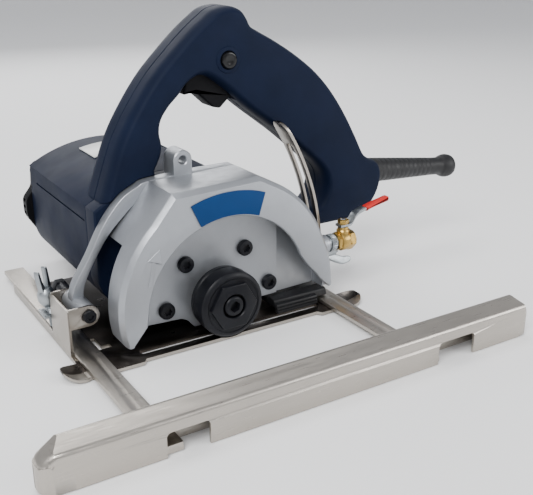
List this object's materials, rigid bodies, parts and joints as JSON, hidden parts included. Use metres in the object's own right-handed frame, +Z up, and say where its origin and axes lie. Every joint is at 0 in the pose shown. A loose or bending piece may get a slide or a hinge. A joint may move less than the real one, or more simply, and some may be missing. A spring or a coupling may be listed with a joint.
{
  "type": "trim saw",
  "caption": "Hand-held wet stone trim saw with a tilting motor unit on a flat base, a half-round blade guard, a loop handle, a water valve and a sliding parallel guide.",
  "frame": {"origin": "on the underside of the base plate, under the spindle side to side and midway across the plate", "axes": "+X towards the rear, where the mains lead leaves the handle; -Y towards the blade and the fence; +Y towards the motor; +Z up from the sole"},
  "size_m": [0.3742, 0.2733, 0.1875],
  "materials": {
    "cast_aluminium": "satin cast",
    "navy_plastic": "fine texture",
    "black_plastic": "fine texture",
    "gloss_black": "polished",
    "black_rubber": "matt",
    "stainless": "brushed along the length",
    "dark_stainless": "bright, dark reflections",
    "black_steel": "black oxide",
    "zinc_plated": "zinc plated",
    "machined_steel": "turned",
    "brass": "turned",
    "badge": "printed, plain",
    "rating_plate": "blank",
    "red_vinyl": "dipped",
    "laminations": "stacked sheet",
    "copper": "wound and turned",
    "carbon": "pressed carbon"
  },
  "bodies": {
    "base": {"base_plate": "dark_stainless", "depth_quadrant": "dark_stainless", "quadrant_rivet_1": "machined_steel", "quadrant_rivet_2": "machined_steel", "pivot_bolt": "black_steel", "pivot_nut": "black_steel", "guide_bridge_front": "zinc_plated", "guide_bridge_rear": "zinc_plated", "splash_block": "black_rubber", "splash_bracket": "dark_stainless"},
    "guide": {"fence_channel": "stainless", "guide_arm_front": "stainless", "guide_arm_rear": "stainless"},
    "guide_screw": {"guide_wing_screw": "zinc_plated"},
    "saw": {"blade_guard": "cast_aluminium", "guard_badge": "badge", "gear_housing": "black_plastic", "guard_screw_1": "black_steel", "guard_screw_2": "black_steel", "guard_screw_3": "black_steel", "guard_screw_4": "black_steel", "spindle_bearing_front": "machined_steel", "spindle_bearing_rear": "machined_steel", "housing_collar": "navy_plastic", "motor_housing": "navy_plastic", "motor_end_cover": "black_plastic", "stator": "laminations", "nameplate": "rating_plate", "brush_cap_1": "black_plastic", "brush_cap_2": "black_plastic", "carbon_brush_1": "carbon", "carbon_brush_2": "carbon", "armature_bearing_front": "machined_steel", "armature_bearing_rear": "machined_steel", "handle_near_half": "navy_plastic", "handle_far_half": "navy_plastic", "handle_screw_1": "black_steel", "handle_screw_2": "black_steel", "handle_screw_3": "black_steel", "trigger_switch": "black_plastic", "cord_boot": "black_rubber", "valve_fitting": "zinc_plated", "valve_body": "brass", "depth_bolt": "zinc_plated"},
    "spindle": {"spindle": "machined_steel", "spindle_gear": "machined_steel", "inner_flange": "black_steel", "outer_flange_nut": "black_steel", "blade_bolt": "black_steel"},
    "armature": {"armature_shaft": "machined_steel", "armature_core": "laminations", "commutator": "copper", "cooling_fan": "black_plastic"},
    "trigger": {"trigger": "black_plastic"},
    "lock_button": {"lock_button": "gloss_black"},
    "valve_handle": {"valve_ball": "machined_steel", "valve_lever": "zinc_plated", "lever_grip": "red_vinyl", "valve_stem_nut": "brass"},
    "depth_nut": {"depth_wing_nut": "zinc_plated"}
  },
  "joints": [
    {"name": "guide_slide", "type": "slide", "parent": "base", "child": "guide", "axis": [0, 1, 0], "range_m": [-0.08, 0.06]},
    {"name": "guide_screw_turn", "type": "hinge", "parent": "base", "child": "guide_screw", "pos_m": [-0.09, -0.0055, 0.00495], "axis": [-0.1392, 0, 0.9903], "range_deg": [0, 360]},
    {"name": "depth_tilt", "type": "hinge", "parent": "base", "child": "saw", "pos_m": [-0.0811, 0, 0.0247], "axis": [0, -1, 0], "range_deg": [0, 26]},
    {"name": "armature_spin", "type": "hinge", "parent": "saw", "child": "armature", "pos_m": [-0.009, 0, 0.04548], "axis": [0, 1, 0], "continuous": true},
    {"name": "spindle_spin", "type": "hinge", "parent": "saw", "child": "spindle", "pos_m": [-0.002, 0, 0.022], "axis": [0, 1, 0], "continuous": true},
    {"name": "trigger_pull", "type": "hinge", "parent": "saw", "child": "trigger", "pos_m": [0.004, -0.0075, 0.152], "axis": [0, -1, 0], "range_deg": [0, 7], "stiffness_Nm_per_rad": 0.4, "springref_deg": -20.05},
    {"name": "lock_press", "type": "slide", "parent": "saw", "child": "lock_button", "axis": [0, 1, 0], "range_m": [0, 0.0025], "stiffness_N_per_m": 400, "springref_m": -0.003},
    {"name": "valve_turn", "type": "hinge", "parent": "saw", "child": "valve_handle", "pos_m": [0.0941, -0.0483, 0.0375], "axis": [0, 0, -1], "range_deg": [0, 90]},
    {"name": "depth_nut_turn", "type": "hinge", "parent": "saw", "child": "depth_nut", "pos_m": [0.09, -0.032, 0.0247], "axis": [1, 0, 0], "range_deg": [0, 360]}
  ],
  "couplings": [
    {"joint": "spindle_spin", "follows": "armature_spin", "ratio": -0.4}
  ]
}
